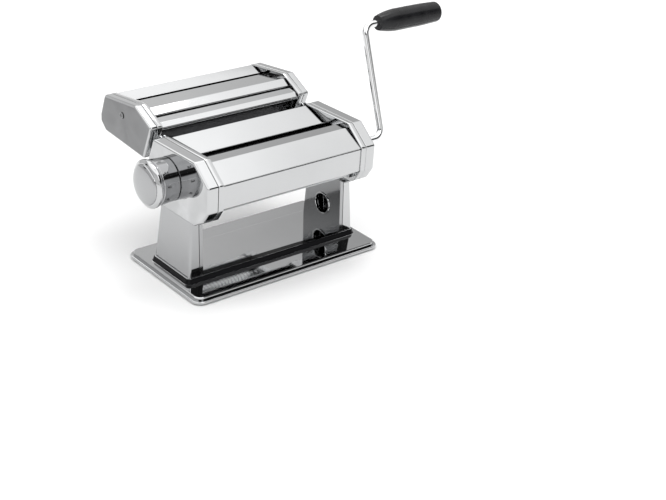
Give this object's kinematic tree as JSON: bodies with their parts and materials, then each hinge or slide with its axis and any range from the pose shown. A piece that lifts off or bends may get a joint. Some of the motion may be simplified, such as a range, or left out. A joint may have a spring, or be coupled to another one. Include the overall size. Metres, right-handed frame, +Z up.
{
  "type": "pasta roller machine",
  "caption": "Hand-cranked pasta roller on a flat base, with a side knob that sets the roller gap, a cranked handle with a plastic grip and a lift-off head of cutting rollers at the back.",
  "frame": {"origin": "on the bench, in the plane of the four feet, under the middle of the base", "axes": "+Z up, +X along the rollers towards the crank, +Y towards the cutter head, so the sheet comes out to the front at -Y"},
  "size_m": [0.3243, 0.1748, 0.1973],
  "materials": {
    "chrome": "polished, mirror-like plating on formed sheet",
    "steel": "plain machined steel",
    "roller_chrome": "ground and plated, smooth",
    "cutter_chrome": "turned and plated",
    "bronze": "sintered bronze, oily",
    "grip_plastic": "black moulded plastic, satin gloss",
    "rubber": "matt black rubber"
  },
  "bodies": {
    "machine": {"base_plate": "chrome", "base_skirt": "chrome", "rubber_feet": "rubber", "leg_shell_left": "chrome", "leg_shell_right": "chrome", "leg_plate_left": "chrome", "leg_plate_right": "chrome", "clamp_eyelet": "chrome", "leg_screws": "steel", "side_frame_left": "chrome", "side_frame_right": "chrome", "end_cover_left": "chrome", "end_cover_right": "chrome", "cover_screws": "steel", "front_cover": "chrome", "hopper_front": "chrome", "hopper_plate": "chrome", "rear_cover": "chrome", "tie_rods": "steel", "front_scraper": "steel", "head_rails": "steel", "drive_bushes": "bronze", "index_collar": "chrome"},
    "drive_train": {"drive_roller": "roller_chrome", "drive_gear": "steel"},
    "crank": {"crank_rod": "chrome", "grip_retainer": "steel"},
    "grip": {"grip": "grip_plastic"},
    "carriage": {"carriage_plate_left": "steel", "carriage_plate_right": "steel", "carriage_bar": "steel", "cam_follower": "steel", "rear_scraper": "steel"},
    "adjust_train": {"adjust_roller": "roller_chrome", "adjust_gear": "steel"},
    "cam": {"cam_shaft": "steel"},
    "knob": {"thickness_knob": "chrome", "knob_cap": "chrome", "detent_pin": "steel", "knob_spring": "steel"},
    "cutter_head": {"head_frame_left": "chrome", "head_frame_right": "chrome", "head_cover_left": "chrome", "head_cover_right": "chrome", "head_screws": "steel", "head_rear_sheet": "chrome", "head_mid_sheet": "chrome", "head_front_sheet": "chrome", "head_tie_rods": "steel", "head_tongues": "steel", "cutter_strippers": "steel"},
    "wide_drive": {"wide_drive_cutter": "cutter_chrome", "wide_drive_gear": "steel"},
    "wide_idle": {"wide_idle_cutter": "cutter_chrome", "wide_idle_gear": "steel"},
    "narrow_drive": {"narrow_drive_cutter": "cutter_chrome", "narrow_drive_gear": "steel"},
    "narrow_idle": {"narrow_idle_cutter": "cutter_chrome", "narrow_idle_gear": "steel"}
  },
  "joints": [
    {"name": "drive_spin", "type": "hinge", "parent": "machine", "child": "drive_train", "pos_m": [0, -0.023, 0.093], "axis": [1, 0, 0], "continuous": true},
    {"name": "crank_pull", "type": "slide", "parent": "drive_train", "child": "crank", "axis": [1, 0, 0], "range_m": [0, 0.045]},
    {"name": "grip_spin", "type": "hinge", "parent": "crank", "child": "grip", "pos_m": [0.17, 0.01167, 0.18723], "axis": [1, 0, 0], "continuous": true},
    {"name": "carriage_slide", "type": "slide", "parent": "machine", "child": "carriage", "axis": [0, -1, 0], "range_m": [0, 0.0024]},
    {"name": "adjust_spin", "type": "hinge", "parent": "carriage", "child": "adjust_train", "pos_m": [0, 0.0077, 0.093], "axis": [1, 0, 0], "continuous": true},
    {"name": "thickness_turn", "type": "hinge", "parent": "machine", "child": "cam", "pos_m": [-0.09, 0.0073, 0.0898], "axis": [-1, 0, 0], "range_deg": [0, 288]},
    {"name": "knob_pull", "type": "slide", "parent": "cam", "child": "knob", "axis": [-1, 0, 0], "range_m": [0, 0.003], "stiffness_N_per_m": 800, "springref_m": -0.002, "deforming": ["knob_spring"]},
    {"name": "head_lift", "type": "slide", "parent": "machine", "child": "cutter_head", "axis": [0, -0.3425, 0.9395], "range_m": [0, 0.045]},
    {"name": "wide_drive_spin", "type": "hinge", "parent": "cutter_head", "child": "wide_drive", "pos_m": [0, 0.058, 0.1055], "axis": [1, 0, 0], "continuous": true},
    {"name": "wide_idle_spin", "type": "hinge", "parent": "cutter_head", "child": "wide_idle", "pos_m": [0, 0.07109, 0.111], "axis": [1, 0, 0], "continuous": true},
    {"name": "narrow_drive_spin", "type": "hinge", "parent": "cutter_head", "child": "narrow_drive", "pos_m": [0, 0.1022, 0.1075], "axis": [1, 0, 0], "continuous": true},
    {"name": "narrow_idle_spin", "type": "hinge", "parent": "cutter_head", "child": "narrow_idle", "pos_m": [0, 0.088, 0.1075], "axis": [1, 0, 0], "continuous": true}
  ],
  "couplings": [
    {"joint": "adjust_spin", "follows": "drive_spin", "ratio": -1},
    {"joint": "thickness_turn", "follows": "carriage_slide", "rad_per_m": 2094.4},
    {"joint": "wide_idle_spin", "follows": "wide_drive_spin", "ratio": -1},
    {"joint": "narrow_idle_spin", "follows": "narrow_drive_spin", "ratio": -1}
  ]
}
